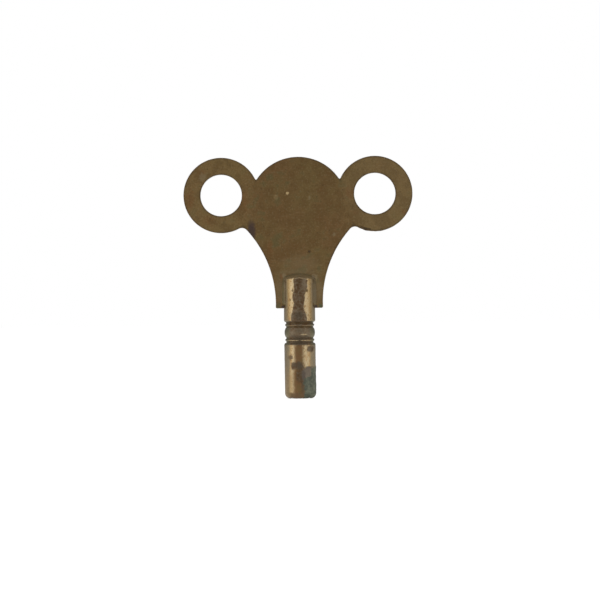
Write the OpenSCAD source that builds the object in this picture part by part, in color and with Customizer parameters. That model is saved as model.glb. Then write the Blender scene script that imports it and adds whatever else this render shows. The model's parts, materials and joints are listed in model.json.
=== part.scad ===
// Clock winding key: a stamped brass wing, soldered into the slotted top of a turned brass barrel.
// Z is the barrel's axis and z = 0 is the socket's mouth. The wing lies in the XZ plane, front towards -Y.

/* [Wing] */
// Distance between the centres of the two finger rings
ring_pitch = 34.9; // [33:0.1:38]
// Outside diameter of each finger ring
ring_d = 17.1; // [15:0.1:19]
// Diameter of the hole in each finger ring
ring_hole_d = 9.4; // [6:0.1:12]
// Height of the ring centres above the wing's foot
ring_rise = 25.8; // [24:0.1:30]
// Radius of the dome between the rings
dome_r = 11.2; // [10:0.1:13]
// Drop of the dome's centre below the ring centres
dome_drop = 2.7; // [1:0.1:4]
// Width of the wing at its waist
waist_w = 10.7; // [9:0.1:14]
// Height of the waist above the wing's foot
waist_rise = 1.2; // [0.5:0.1:4]
// Radius of the hollow flank below each ring
flank_r = 24.9; // [20:0.1:30]
// Radius in the notch between the dome and a ring
dome_notch_r = 0.25; // [0.1:0.05:1]
// Radius in the notch between a ring and its flank
flank_notch_r = 1.5; // [0.3:0.1:2.5]
// Radius on the two corners of the wing's foot
foot_corner_r = 0.35; // [0.1:0.05:1]
// Thickness of the wing's sheet
wing_t = 1.6; // [1:0.1:2.5]

/* [Barrel] */
// Diameter of the barrel's two sleeves
barrel_d = 7.1; // [6.5:0.1:9]
// Length of the barrel to the top of its domed end
barrel_len = 28.2; // [26:0.1:34]
// Length of the lower sleeve, up to the collar
lower_sleeve_len = 12.65; // [12.4:0.05:14]
// Radius of the domed end
crown_r = 8; // [6:0.5:20]
// Radius on the rim of the domed end
crown_rim_r = 0.8; // [0.2:0.05:1.2]
// Radius on the edge of the socket's end
mouth_edge_r = 1.2; // [0.2:0.05:1.25]
// Radius on the sleeves' edges beside the collar
shoulder_r = 0.45; // [0.1:0.05:1]

/* [Collar] */
// Diameter of the bead in the middle of the collar
bead_d = 6.95; // [6.2:0.05:8]
// Length of the bead along the barrel
bead_len = 2.1; // [1.5:0.05:3]
// Radius of the bead's rounded face
bead_face_r = 2.4; // [1.6:0.1:4]
// Diameter of the thin ring on each side of the bead
thin_ring_d = 6.65; // [6.2:0.05:8]
// Length of a thin ring along the barrel
thin_ring_len = 0.56; // [0.4:0.02:1]
// Radius of a thin ring's rounded face
thin_ring_face_r = 0.3; // [0.28:0.02:0.8]
// Diameter at the bottom of the grooves
groove_d = 6.2; // [5.8:0.05:6.2]
// Width of each groove
groove_w = 0.36; // [0.2:0.02:0.8]

/* [Socket] */
// Square socket, across its flats
square_af = 4.25; // [3.5:0.05:4.5]
// Diameter that the square's corners reach
square_corner_d = 5.84; // [5:0.02:5.9]
// Depth of the square
square_depth = 12; // [8:0.1:12.2]
// Diameter of the drilled hole that runs on past the square
drill_d = 4.2; // [3:0.1:4.4]
// Depth of the drilled hole, without its point
drill_depth = 14.5; // [12.5:0.1:16]
// Angle of the drill's point
drill_point_angle = 118; // [90:1:140]
// Diameter of the countersunk mouth
mouth_d = 4.6; // [4.6:0.1:5.2]
// Depth of the countersunk mouth
mouth_depth = 0.5; // [0.2:0.05:1]

/* [Joint] */
// Depth of the slot, from the top of the domed end to the wing's foot
slot_depth = 7.7; // [4:0.1:9]
// Thickness of the solder between the wing and each cheek of the slot
solder_gap = 0.06; // [0.03:0.01:0.2]
// Width of the solder fillet on the wing, round each cheek
fillet_leg = 0.65; // [0.4:0.05:1]
// Height of the solder fillet up the cheek, from the wing's face
fillet_rise = 0.55; // [0.3:0.05:1]
// Radius of the solder fillet's hollow face
fillet_hollow_r = 1.6; // [1.3:0.1:4]

/* [Hidden] */
$fn = 128;

// How far a cut runs past the face that it opens
cut_past = 1;
// How far a rounding's circle runs past the two lines that it blends, so that it crosses each in a clean edge
round_past = 0.001;

// The wing's outline is drawn with the foot at zero and the barrel's axis in the middle
ring_c = [ring_pitch / 2, ring_rise];
dome_c = [0, ring_rise - dome_drop];
flank_c = [waist_w / 2 + flank_r, waist_rise];
ring_r = ring_d / 2;

// The barrel's levels, from the socket's mouth up
barrel_r = barrel_d / 2;
collar_len = bead_len + 2 * thin_ring_len + 4 * groove_w;
bead_z = lower_sleeve_len + collar_len / 2;
thin_ring_offset = bead_len / 2 + groove_w + thin_ring_len / 2;
upper_sleeve_z = lower_sleeve_len + collar_len;
crown_z = barrel_len - crown_r;
foot_z = barrel_len - slot_depth;

// The slot and the solder, measured from the wing's middle plane
wing_face = wing_t / 2;
slot_w = wing_t + 2 * solder_gap;
cheek_x = sqrt(pow(barrel_r, 2) - pow(wing_face, 2));
crown_edge = sqrt(pow(crown_r, 2) - pow(wing_face, 2));

// Where the circles of radius ra at a and rb at b cross, on the left of the way from a to b
function meeting(a, ra, b, rb) =
    let (way = b - a)
    let (apart = norm(way))
    let (along = (pow(apart, 2) + pow(ra, 2) - pow(rb, 2)) / (2 * apart))
    let (across = sqrt(pow(ra, 2) - pow(along, 2)))
    a + (along * way + across * [-way[1], way[0]]) / apart;

module both_sides() {
    children();
    mirror([1, 0, 0]) children();
}

// A disc at a point
module disc(c, r) {
    translate(c) circle(r = r);
}

// Metal that rounds the bottom of the notch between the dome and a ring
module dome_notch_fill() {
    round_c = meeting(dome_c, dome_r + dome_notch_r, ring_c, ring_r + dome_notch_r);
    difference() {
        polygon([dome_c, ring_c, round_c]);
        disc(round_c, dome_notch_r + round_past);
    }
}

// Metal that rounds the bottom of the notch between a ring and its flank
module flank_notch_fill() {
    round_c = meeting(flank_c, flank_r - flank_notch_r, ring_c, ring_r + flank_notch_r);
    inward = (round_c - flank_c) / norm(round_c - flank_c);
    difference() {
        polygon([ring_c, round_c + inward * 2 * flank_notch_r, round_c]);
        disc(round_c, flank_notch_r + round_past);
    }
}

// What comes off a corner of the foot to round it
module foot_corner_cut() {
    reach = pow(flank_r + foot_corner_r, 2) - pow(waist_rise - foot_corner_r, 2);
    round_c = [flank_c[0] - sqrt(reach), foot_corner_r];
    difference() {
        polygon([round_c, flank_c, [flank_c[0], -cut_past], [round_c[0], -cut_past]]);
        disc(round_c, foot_corner_r + round_past);
    }
}

module wing_outline() {
    difference() {
        translate([-ring_c[0], 0]) square([ring_pitch, ring_rise]);
        both_sides() disc(flank_c, flank_r);
        both_sides() foot_corner_cut();
    }
    disc(dome_c, dome_r);
    both_sides() {
        disc(ring_c, ring_r);
        dome_notch_fill();
        flank_notch_fill();
    }
}

module wing_plate() {
    color("#6A5533")
    difference() {
        translate([0, wing_face, foot_z]) rotate([90, 0, 0]) linear_extrude(wing_t) wing_outline();
        both_sides() translate([ring_c[0], 0, foot_z + ring_rise]) rotate([90, 0, 0])
            cylinder(d = ring_hole_d, h = wing_t + 2 * cut_past, center = true);
    }
}

// What comes off a square edge to round it, with the round's centre at the origin
module edge_cut(r) {
    difference() {
        square(r + cut_past);
        circle(r = r + round_past);
    }
}

module lower_edge_cut(z, r) {
    translate([barrel_r - r, z + r]) rotate(-90) edge_cut(r);
}

module upper_edge_cut(z, r) {
    translate([barrel_r - r, z - r]) edge_cut(r);
}

// Half of a sleeve's section, less the edge cuts that are its children
module sleeve(z_low, z_high) {
    difference() {
        translate([0, z_low]) square([barrel_r, z_high - z_low]);
        children();
    }
}

// Half of a turned ring's section, with a rounded face
module turned_ring(z, d, len, face_r) {
    intersection() {
        translate([d / 2 - face_r, z]) circle(r = face_r);
        translate([0, z - len / 2]) square([d / 2, len]);
    }
}

// What comes off the rim of the domed end to round it
module crown_rim_cut() {
    rim_x = barrel_r - crown_rim_r;
    rim_c = [rim_x, crown_z + sqrt(pow(crown_r - crown_rim_r, 2) - pow(rim_x, 2))];
    outward = (rim_c - [0, crown_z]) / (crown_r - crown_rim_r);
    difference() {
        polygon([
            rim_c,
            [barrel_r + cut_past, rim_c[1]],
            [barrel_r + cut_past, barrel_len + cut_past],
            rim_c + outward * (crown_rim_r + cut_past)
        ]);
        disc(rim_c, crown_rim_r + round_past);
    }
}

// Half of the barrel's section, before the dome's rim is rounded
module domed_profile() {
    intersection() {
        union() {
            sleeve(0, lower_sleeve_len) {
                lower_edge_cut(0, mouth_edge_r);
                upper_edge_cut(lower_sleeve_len, shoulder_r);
            }
            translate([0, mouth_edge_r]) square([groove_d / 2, upper_sleeve_z]);
            turned_ring(bead_z - thin_ring_offset, thin_ring_d, thin_ring_len, thin_ring_face_r);
            turned_ring(bead_z, bead_d, bead_len, bead_face_r);
            turned_ring(bead_z + thin_ring_offset, thin_ring_d, thin_ring_len, thin_ring_face_r);
            sleeve(upper_sleeve_z, barrel_len) lower_edge_cut(upper_sleeve_z, shoulder_r);
        }
        union() {
            square([barrel_d, crown_z]);
            disc([0, crown_z], crown_r);
        }
    }
}

// The barrel before the slot and the socket
module barrel_blank() {
    rotate_extrude() difference() {
        domed_profile();
        crown_rim_cut();
    }
}

module slot() {
    translate([-barrel_d, -slot_w / 2, foot_z]) cube([2 * barrel_d, slot_w, slot_depth + cut_past]);
}

// The square socket, the drilled hole past it and the countersunk mouth
module socket() {
    drill_point_len = drill_d / 2 / tan(drill_point_angle / 2);
    mouth_slope = (mouth_d - drill_d) / mouth_depth;
    translate([0, 0, -cut_past]) linear_extrude(square_depth + cut_past) intersection() {
        square(square_af, center = true);
        circle(d = square_corner_d);
    }
    cylinder(d = drill_d, h = drill_depth);
    translate([0, 0, drill_depth]) cylinder(d1 = drill_d, d2 = 0, h = drill_point_len);
    translate([0, 0, -cut_past]) cylinder(
        d1 = mouth_d + cut_past * mouth_slope,
        d2 = drill_d,
        h = mouth_depth + cut_past
    );
}

module barrel() {
    color("#B3945C")
    difference() {
        barrel_blank();
        slot();
        socket();
    }
}

// Section of the fillet against a round of radius r that meets the wing's face at edge.
// X runs out from the round's centre and Y out from the wing's middle plane.
module fillet_section(edge, r) {
    wing_toe = [edge + fillet_leg, wing_face];
    cheek_toe_y = wing_face + fillet_rise;
    cheek_toe = [sqrt(pow(r, 2) - pow(cheek_toe_y, 2)), cheek_toe_y];
    hollow_c = meeting(cheek_toe, fillet_hollow_r, wing_toe, fillet_hollow_r);
    difference() {
        polygon([[cheek_toe[0], wing_face], wing_toe, hollow_c, cheek_toe]);
        circle(r = r);
        disc(hollow_c, fillet_hollow_r + round_past);
    }
}

// Turns a revolve's axis along Y, with its angles measured from +X towards +Z
module axis_along_y() {
    rotate([-90, 0, 0]) mirror([0, 1, 0]) children();
}

// One cheek's solder, at the back: the layer in the slot, the fillet up each side and the fillet over the top.
// It bridges the dome's rounded rim straight across.
module solder_seam() {
    side_reach = cheek_x + fillet_leg;
    top_reach = crown_edge + fillet_leg;
    mitre_angle = acos(side_reach / top_reach);
    mitre_z = crown_z + top_reach * sin(mitre_angle);
    intersection() {
        rotate_extrude() domed_profile();
        translate([-barrel_d, wing_face, foot_z]) cube([2 * barrel_d, solder_gap, slot_depth]);
    }
    both_sides() translate([0, 0, foot_z])
        linear_extrude(mitre_z - foot_z) fillet_section(cheek_x, barrel_r);
    translate([0, 0, crown_z]) axis_along_y()
        rotate_extrude(angle = 180 - 2 * mitre_angle, start = mitre_angle) fillet_section(crown_edge, crown_r);
}

module back_solder_seam() {
    color("#635A41") solder_seam();
}

module front_solder_seam() {
    color("#635A41") mirror([0, 1, 0]) solder_seam();
}

wing_plate();
barrel();
front_solder_seam();
back_solder_seam();
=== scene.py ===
"""Looks of a clock winding key: a tarnished brass wing soldered into a rubbed, turned brass barrel.

Sizes are in millimetres and become metres as a mesh is written. Z runs up the barrel from the socket's
mouth, X runs across the wing from ring to ring, and the photographed face looks towards -Y.
"""

import json
import logging
import math
from dataclasses import dataclass, field
from enum import Enum

import bmesh
import bpy
import numpy as np
from mathutils import Matrix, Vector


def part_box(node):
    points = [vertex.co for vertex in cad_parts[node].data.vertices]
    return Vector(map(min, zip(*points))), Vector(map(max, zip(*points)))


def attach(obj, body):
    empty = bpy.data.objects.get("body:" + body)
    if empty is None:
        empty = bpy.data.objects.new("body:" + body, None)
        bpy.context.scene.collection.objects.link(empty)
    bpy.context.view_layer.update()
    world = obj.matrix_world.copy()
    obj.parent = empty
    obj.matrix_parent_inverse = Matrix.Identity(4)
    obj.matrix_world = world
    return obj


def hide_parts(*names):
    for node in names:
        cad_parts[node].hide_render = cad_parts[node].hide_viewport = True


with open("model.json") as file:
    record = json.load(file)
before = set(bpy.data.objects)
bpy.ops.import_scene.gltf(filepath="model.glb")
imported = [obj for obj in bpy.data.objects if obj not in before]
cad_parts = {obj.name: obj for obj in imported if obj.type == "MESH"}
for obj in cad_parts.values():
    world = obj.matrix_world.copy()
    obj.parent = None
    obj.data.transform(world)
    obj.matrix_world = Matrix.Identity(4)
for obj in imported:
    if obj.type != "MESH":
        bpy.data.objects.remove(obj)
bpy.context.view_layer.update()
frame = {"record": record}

MM = 0.001
# Places that agree to WELD mm become one vertex. The shift keeps round sizes off the line between cells.
WELD = 1e-4
WELD_SHIFT = 0.37
# Turns and squeezes a noise, so that its lattice doesn't show as upright blocks.
SLANT = np.array([[1.0, 0.0, 0.5], [0.0, 1.0, 0.0], [-0.5, 0.0, 0.5]])
# Large primes that scatter a lattice corner's three numbers and a seed.
CORNER_PRIMES = np.array([73856093, 19349663, 83492791])
SEED_PRIME = 2654435761
SCATTER_PRIME = 1274126177
BODY = "root"
LOG = logging.getLogger("clock_key")


def linear(colour: str) -> tuple[float, float, float, float]:
    """Turns an sRGB colour into Blender's linear colour.

    Args:
        colour: a hex value such as "#8C7146".

    Returns:
        Red, green, blue and alpha from 0 to 1, linear.
    """
    coded = np.array([int(colour[at:at + 2], 16) for at in (1, 3, 5)]) / 255
    plain = np.where(coded <= 0.04045, coded / 12.92, ((coded + 0.055) / 1.055) ** 2.4)
    return (*plain.tolist(), 1.0)


def per_mm(cell: float) -> float:
    """The scale that gives a noise pattern a cell of that many millimetres."""
    return 1 / (cell * MM)


def add_node(tree: bpy.types.NodeTree, kind: str, inputs: dict | None = None, **settings) -> bpy.types.Node:
    """Adds a node with its settings, and sets or links its inputs.

    Args:
        tree: the node tree that takes the node.
        kind: the node's type.
        inputs: by socket name or number, a plain value, or another node's output, which is linked.
        settings: the node's own properties.

    Returns:
        The new node.
    """
    node = tree.nodes.new(kind)
    for name, value in settings.items():
        setattr(node, name, value)
    for socket, value in (inputs or {}).items():
        if isinstance(value, bpy.types.NodeSocket):
            tree.links.new(value, node.inputs[socket])
        else:
            node.inputs[socket].default_value = value
    return node


def fresh_tree(owner: bpy.types.Material | bpy.types.World) -> bpy.types.NodeTree:
    """Turns on the nodes of a material or a world and clears them.

    Args:
        owner: the material or the world.

    Returns:
        Its empty node tree.
    """
    owner.use_nodes = True
    owner.node_tree.nodes.clear()
    return owner.node_tree


def put(name: str, data: bpy.types.ID) -> bpy.types.Object:
    """Makes an object at the origin and adds it to the scene.

    Args:
        name: the object's name.
        data: its mesh, camera or lamp.

    Returns:
        The new object.
    """
    made = bpy.data.objects.new(name, data)
    bpy.context.scene.collection.objects.link(made)
    return made


def ramp(values: np.ndarray, low: float, high: float) -> np.ndarray:
    """A smooth step: 0 up to low, 1 from high on, and an S curve between; low above high runs downwards."""
    part = np.clip((values - low) / (high - low), 0, 1)
    return part * part * (3 - 2 * part)


def lattice_noise(points: np.ndarray, cell: float, seed: int) -> np.ndarray:
    """Smooth noise: fixed values at the corners of a cubic lattice, blended by S curves inside each cube.

    Args:
        points: places in mm, n by 3.
        cell: the lattice's spacing in mm.
        seed: picks one of many noises.

    Returns:
        One value from -1 to 1 for each place.
    """
    scaled = points / cell
    corner = np.floor(scaled)
    part = scaled - corner
    part = part * part * (3 - 2 * part)
    corner = corner.astype(np.int64)
    total = np.zeros(len(points))
    for step in np.ndindex(2, 2, 2):
        at = corner + np.array(step)
        mixed = np.bitwise_xor.reduce(at * CORNER_PRIMES, axis=1) ^ seed * SEED_PRIME
        mixed = (mixed ^ mixed >> 13) * SCATTER_PRIME & 0x7FFFFFFF
        mixed = mixed ^ mixed >> 15
        value = (mixed & 0xFFFF) / 32767.5 - 1
        total += value * np.prod(np.where(np.array(step) == 1, part, 1 - part), axis=1)
    return total


def rough_noise(points: np.ndarray, cell: float, seed: int) -> np.ndarray:
    """Three noises, each of half the cell and half the height of the one before, from about -1 to 1."""
    layers = [lattice_noise(points, cell / 2 ** n, seed + n) / 2 ** n for n in range(3)]
    return sum(layers) / 1.3


class Side(Enum):
    """The wing's two faces, by the sign of Y that they look towards."""

    FRONT = -1
    BACK = 1


@dataclass(frozen=True)
class Spot:
    """A mark on the photographed face: an ellipse, by its centre and half sizes in mm."""

    x: float
    z: float
    half_x: float
    half_z: float
    strength: float = 1.0
    soft: float = 0.25

    def cover(self, points: np.ndarray, ragged: float = 0.35) -> np.ndarray:
        """How far the mark covers each place: full inside the ellipse, nothing outside its wandering rim.

        Args:
            points: places in mm, n by 3.
            ragged: how far noise moves the rim, as a share of the ellipse's size.

        Returns:
            Values from 0 to strength, and 0 on the other face.
        """
        away = np.hypot((points[:, 0] - self.x) / self.half_x, (points[:, 2] - self.z) / self.half_z)
        away = away + ragged * rough_noise(points, 0.7 * min(self.half_x, self.half_z), 41)
        return self.strength * ramp(away, 1 + self.soft, 1 - self.soft) * (points[:, 1] < 0)


def covered(spots: tuple[Spot, ...], points: np.ndarray, ragged: float = 0.35) -> np.ndarray:
    """The strongest cover of several spots at each place."""
    return np.max([spot.cover(points, ragged) for spot in spots], axis=0)


@dataclass(frozen=True)
class Streak:
    """A mark along the barrel's photographed face, by its left and right edges in mm at rising heights."""

    stops: tuple[tuple[float, float, float], ...]
    soft: float = 0.12
    ragged: float = 0.2
    cell: float = 0.8

    def cover(self, points: np.ndarray) -> np.ndarray:
        """How far the mark covers each place: full between its two edges, which wander.

        Args:
            points: places in mm, n by 3.

        Returns:
            Values from 0 to 1, and 0 on the far side and past the first and last heights.
        """
        x, y, z = points.T
        heights, left, right = np.array(self.stops).T
        inside = np.minimum(x - np.interp(z, heights, left), np.interp(z, heights, right) - x)
        inside = np.minimum(inside, np.minimum(z - heights[0], heights[-1] - z))
        inside = inside + self.ragged * rough_noise(points, self.cell, 43)
        # Round the side, the mark ends in a wandering line a little behind the middle.
        front = ramp(y + 0.8 * rough_noise(points, 1.5, 67), 0.8, 0.3)
        return ramp(inside, -self.soft, self.soft) * front


def rays(angle: np.ndarray) -> np.ndarray:
    """Unit directions in X and Z at angles in radians, n by 2."""
    return np.stack([np.cos(angle), np.sin(angle)], axis=1)


@dataclass(frozen=True)
class Arc:
    """A stretch of outline: an arc in the XZ plane about a centre, between two angles in radians."""

    centre: np.ndarray
    radius: float
    start: float
    end: float
    steps: int
    hollow: bool = False

    def trace(self) -> tuple[np.ndarray, np.ndarray]:
        """Places along the arc: centre + radius (cos a, sin a), with a running evenly from start to end.

        Returns:
            The places and the directions out of the metal there, each n by 2.
        """
        ray = rays(np.linspace(self.start, self.end, self.steps + 1))
        return self.centre + self.radius * ray, -ray if self.hollow else ray


def heading(start: np.ndarray, end: np.ndarray) -> float:
    """The angle in radians of the way from one place to another."""
    return math.atan2(end[1] - start[1], end[0] - start[0])


def meeting(a: np.ndarray, a_r: float, b: np.ndarray, b_r: float) -> np.ndarray:
    """Where two circles cross, on the left of the way from the first to the second.

    Args:
        a: the first circle's centre.
        a_r: its radius.
        b: the second circle's centre.
        b_r: its radius.

    Returns:
        The place where they cross.
    """
    way = b - a
    span = np.hypot(*way)
    along = (span ** 2 + a_r ** 2 - b_r ** 2) / (2 * span)
    up = math.sqrt(a_r ** 2 - along ** 2)
    way = way / span
    return a + along * way + up * np.array([-way[1], way[0]])


@dataclass
class Skin:
    """The closed surface of one piece, joined from grids of places in millimetres."""

    grids: list[np.ndarray] = field(default_factory=list)

    def add(self, x: np.ndarray, y: np.ndarray, z: np.ndarray) -> None:
        """Adds a grid by its three coordinates, which are spread to the same rows and columns."""
        self.grids.append(np.stack(np.broadcast_arrays(x, y, z), axis=-1).astype(float))

    def weld(self) -> tuple[np.ndarray, np.ndarray]:
        """Cuts every grid cell into two triangles and makes one vertex of places that agree.

        Returns:
            The vertices in mm, n by 3, and the triangles, m by 3, without those that closed up at a pole.
        """
        faces = []
        start = 0
        for grid in self.grids:
            rows, columns = grid.shape[:2]
            index = start + np.arange(rows * columns).reshape(rows, columns)
            near, far = index[:-1], index[1:]
            faces.append(np.stack([near[:, :-1], near[:, 1:], far[:, 1:]], axis=-1).reshape(-1, 3))
            faces.append(np.stack([near[:, :-1], far[:, 1:], far[:, :-1]], axis=-1).reshape(-1, 3))
            start += rows * columns
        places = np.concatenate([grid.reshape(-1, 3) for grid in self.grids])
        keys = np.round(places / WELD + WELD_SHIFT).astype(np.int64)
        first, same = np.unique(keys, axis=0, return_index=True, return_inverse=True)[1:]
        triangles = same.reshape(-1)[np.concatenate(faces)]
        whole = np.all(triangles != np.roll(triangles, 1, axis=1), axis=1)
        return places[first], triangles[whole]


def make_piece(
    name: str,
    vertices: np.ndarray,
    triangles: np.ndarray,
    marks: dict[str, np.ndarray],
    material: bpy.types.Material,
    crease: float,
) -> bpy.types.Object:
    """Writes a welded skin into a mesh object at the origin.

    Args:
        name: the piece's name.
        vertices: places in mm, n by 3.
        triangles: vertex numbers, m by 3.
        marks: values from 0 to 1 at each vertex that the material reads by name.
        material: the piece's finish.
        crease: faces that meet at more than this angle, in degrees, keep a crisp edge.

    Returns:
        The piece.
    """
    mesh = bpy.data.meshes.new(name)
    mesh.vertices.add(len(vertices))
    mesh.vertices.foreach_set("co", (vertices * MM).ravel())
    mesh.loops.add(triangles.size)
    mesh.loops.foreach_set("vertex_index", triangles.ravel())
    mesh.polygons.add(len(triangles))
    mesh.polygons.foreach_set("loop_start", np.arange(len(triangles)) * 3)
    mesh.polygons.foreach_set("use_smooth", np.ones(len(triangles), dtype=bool))
    mesh.update(calc_edges=True)
    shell = bmesh.new()
    shell.from_mesh(mesh)
    bmesh.ops.recalc_face_normals(shell, faces=shell.faces)
    shell.to_mesh(mesh)
    shell.free()
    for mark, values in marks.items():
        mesh.attributes.new(mark, "FLOAT", "POINT").data.foreach_set("value", values.astype(np.float32))
    mesh.set_sharp_from_angle(angle=math.radians(crease))
    mesh.materials.append(material)
    return put(name, mesh)


def place(piece: bpy.types.Object, node: str) -> None:
    """Lets a piece stand for a solid: it rides on the body and replaces the node.

    Args:
        piece: the piece.
        node: the solid's node.
    """
    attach(piece, BODY)
    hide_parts(node)
    LOG.info("%s stands for %s: %d triangles", piece.name, node, len(piece.data.polygons))


@dataclass(frozen=True)
class Grain:
    """A noise in a finish: its cells' size in mm, its fineness, and how far each axis is squeezed."""

    name: str
    cell: float
    detail: float
    squeeze: tuple[float, float, float] = (1.0, 1.0, 1.0)


@dataclass(frozen=True)
class Share:
    """How much of a coat shows: a grain's value, from 0 at low to most at high by an S curve.

    Where a mark is named, the grain times gain is added to it first, which makes the mark's rim ragged.
    """

    name: str
    grain: str
    low: float
    high: float
    most: float = 1.0
    gain: float = 1.0
    mark: str | None = None


@dataclass(frozen=True)
class Coat:
    """A colour laid over what is below it by a named amount, after the coats of its own are laid on it."""

    amount: str
    colour: str
    upon: tuple["Coat", ...] = ()


@dataclass(frozen=True)
class Finish:
    """A metal's finish: coats of colour laid one over another, by noise and by the marks on the piece."""

    name: str
    base: str
    grains: tuple[Grain, ...]
    shares: tuple[Share, ...]
    marks: tuple[str, ...]
    coats: tuple[Coat, ...]
    bump: float
    bump_mm: float

    def amounts(self, tree: bpy.types.NodeTree) -> dict[str, bpy.types.NodeSocket]:
        """Adds the grains, the marks and the shares drawn from them.

        Args:
            tree: the material's node tree.

        Returns:
            A socket for each grain, mark and share; a share takes the place of the mark of its name.
        """
        where = add_node(tree, "ShaderNodeTexCoord").outputs["Object"]
        found = {}
        for grain in self.grains:
            spread = add_node(tree, "ShaderNodeMapping", {"Vector": where, "Scale": grain.squeeze})
            noise = {"Vector": spread.outputs["Vector"], "Scale": per_mm(grain.cell), "Detail": grain.detail}
            found[grain.name] = add_node(tree, "ShaderNodeTexNoise", noise).outputs["Fac"]
        for mark in self.marks:
            found[mark] = add_node(tree, "ShaderNodeAttribute", attribute_name=mark).outputs["Fac"]
        for share in self.shares:
            value = found[share.grain]
            if share.mark:
                parts = {0: value, 1: share.gain, 2: found[share.mark]}
                value = add_node(tree, "ShaderNodeMath", parts, operation="MULTIPLY_ADD").outputs["Value"]
            spread = {"Value": value, "From Min": share.low, "From Max": share.high, "To Max": share.most}
            curve = add_node(tree, "ShaderNodeMapRange", spread, interpolation_type="SMOOTHSTEP")
            found[share.name] = curve.outputs["Result"]
        return found

    def lay(
        self,
        tree: bpy.types.NodeTree,
        amounts: dict[str, bpy.types.NodeSocket],
        base: str,
        coats: tuple[Coat, ...],
    ) -> bpy.types.NodeSocket | tuple[float, float, float, float]:
        """Lays coats over a base colour, in order.

        Args:
            tree: the material's node tree.
            amounts: the sockets that the coats name.
            base: the hex colour below them all.
            coats: the coats, the lowest first.

        Returns:
            The finished colour's socket, or the base colour alone where there is no coat.
        """
        colour = linear(base)
        for coat in coats:
            above = self.lay(tree, amounts, coat.colour, coat.upon)
            layers = {0: amounts[coat.amount], 6: colour, 7: above}
            colour = add_node(tree, "ShaderNodeMix", layers, data_type="RGBA").outputs[2]
        return colour

    def surface(
        self, tree: bpy.types.NodeTree, amounts: dict[str, bpy.types.NodeSocket]
    ) -> tuple[float | bpy.types.NodeSocket, bpy.types.NodeSocket, bpy.types.NodeSocket]:
        """Works out the metal, the roughness and the height of the finish.

        Args:
            tree: the material's node tree.
            amounts: the sockets of the grains, marks and shares.

        Returns:
            How metallic it is, how rough it is and its height for the bump.
        """
        raise NotImplementedError

    def material(self) -> bpy.types.Material:
        """Makes the finish.

        Returns:
            A material that reads the marks.
        """
        made = bpy.data.materials.new(self.name)
        tree = fresh_tree(made)
        amounts = self.amounts(tree)
        metal, rough, height = self.surface(tree, amounts)
        relief = {"Strength": self.bump, "Distance": self.bump_mm * MM, "Height": height}
        shader = add_node(
            tree,
            "ShaderNodeBsdfPrincipled",
            {
                "Base Color": self.lay(tree, amounts, self.base, self.coats),
                "Metallic": metal,
                "Roughness": rough,
                "Normal": add_node(tree, "ShaderNodeBump", relief).outputs["Normal"],
            },
        )
        add_node(tree, "ShaderNodeOutputMaterial", {"Surface": shader.outputs["BSDF"]})
        return made


@dataclass(frozen=True)
class TarnishedSheetBrass(Finish):
    """Rolled brass sheet, blanked in a press, handled and left to tarnish for decades."""

    name: str = "tarnished_sheet_brass"
    base: str = "#715C3A"
    copper: str = "#745030"
    dusk: str = "#5F4E31"
    pale: str = "#85765A"
    grime: str = "#3A3026"
    # The oxide is thin and even, so the eye sees a dull olive brown in soft clouds, warmer where it is thin.
    # Corrosion starts at points, so the skin is gritty. Real grit is finer than a pixel, so this is coarser.
    grains: tuple[Grain, ...] = (
        Grain("cloud", 7.0, 3.0),
        Grain("blotch", 2.2, 4.0),
        Grain("speck", 0.45, 2.0),
        Grain("grit", 0.4, 1.0),
    )
    shares: tuple[Share, ...] = (
        Share("umber", "cloud", 0.35, 0.65),
        Share("warm", "blotch", 0.5, 0.72, 0.6),
        Share("green", "blotch", 0.48, 0.3, 0.85),
        Share("shade", "blotch", 0.44, 0.6, 0.5),
        Share("fleck", "grit", 0.5, 0.74, 0.3),
        Share("dot", "grit", 0.46, 0.3, 0.3),
        Share("freckle", "speck", 0.62, 0.74, 0.35),
    )
    marks: tuple[str, ...] = ("worn", "ruddy", "grime", "dark_spot", "salt", "pale", "bare")
    coats: tuple[Coat, ...] = (
        Coat("umber", "#725738"),
        Coat("warm", copper),
        Coat("green", "#655A3B"),
        Coat("worn", "#806A45"),
        Coat("ruddy", copper),
        Coat("shade", dusk),
        Coat("fleck", pale),
        Coat("dot", dusk),
        Coat("freckle", grime),
        Coat("dark_spot", "#453A3A"),
        Coat("salt", "#4C5641"),
        Coat("pale", pale),
        Coat("grime", grime),
        Coat("bare", "#C9B083"),
    )
    bump: float = 0.25
    bump_mm: float = 0.03

    def surface(
        self, tree: bpy.types.NodeTree, amounts: dict[str, bpy.types.NodeSocket]
    ) -> tuple[float, bpy.types.NodeSocket, bpy.types.NodeSocket]:
        """Metal all over, a little smoother and rougher from blotch to blotch, with grit and specks on it.

        Args:
            tree: the material's node tree.
            amounts: the sockets of the grains, marks and shares.

        Returns:
            How metallic it is, how rough it is and its height for the bump.
        """
        spread = {"Value": amounts["blotch"], "From Min": 0.3, "From Max": 0.7, "To Min": 0.4, "To Max": 0.5}
        rough = add_node(tree, "ShaderNodeMapRange", spread).outputs["Result"]
        height = add_node(tree, "ShaderNodeMath", {0: amounts["grit"], 1: amounts["speck"]}, operation="ADD")
        return 1.0, rough, height.outputs["Value"]


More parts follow.
